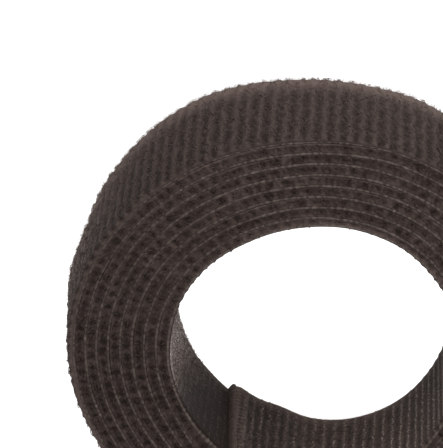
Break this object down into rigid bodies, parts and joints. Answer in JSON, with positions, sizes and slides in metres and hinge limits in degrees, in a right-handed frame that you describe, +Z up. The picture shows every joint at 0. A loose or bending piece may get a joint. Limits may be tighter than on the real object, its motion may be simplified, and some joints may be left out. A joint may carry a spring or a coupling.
{
  "type": "roll of hook and loop cable tie tape",
  "caption": "Roll of dark back-to-back hook and loop tape for tying cables, wound hook side in round an open hole and standing on its rim.",
  "frame": {"origin": "middle of the underside, on the surface that the roll stands on", "axes": "+Z up, the roll's axis along Y, the front end face toward -Y, +X to the right as seen from the front"},
  "size_m": [0.0696, 0.02, 0.0692],
  "materials": {
    "tape": "dark brown-black woven nylon, a fuzzy ribbed loop pile on the outside and fine moulded-looking hook rows on the inside"
  },
  "bodies": {
    "root": {"tape_roll": "tape"}
  },
  "joints": []
}
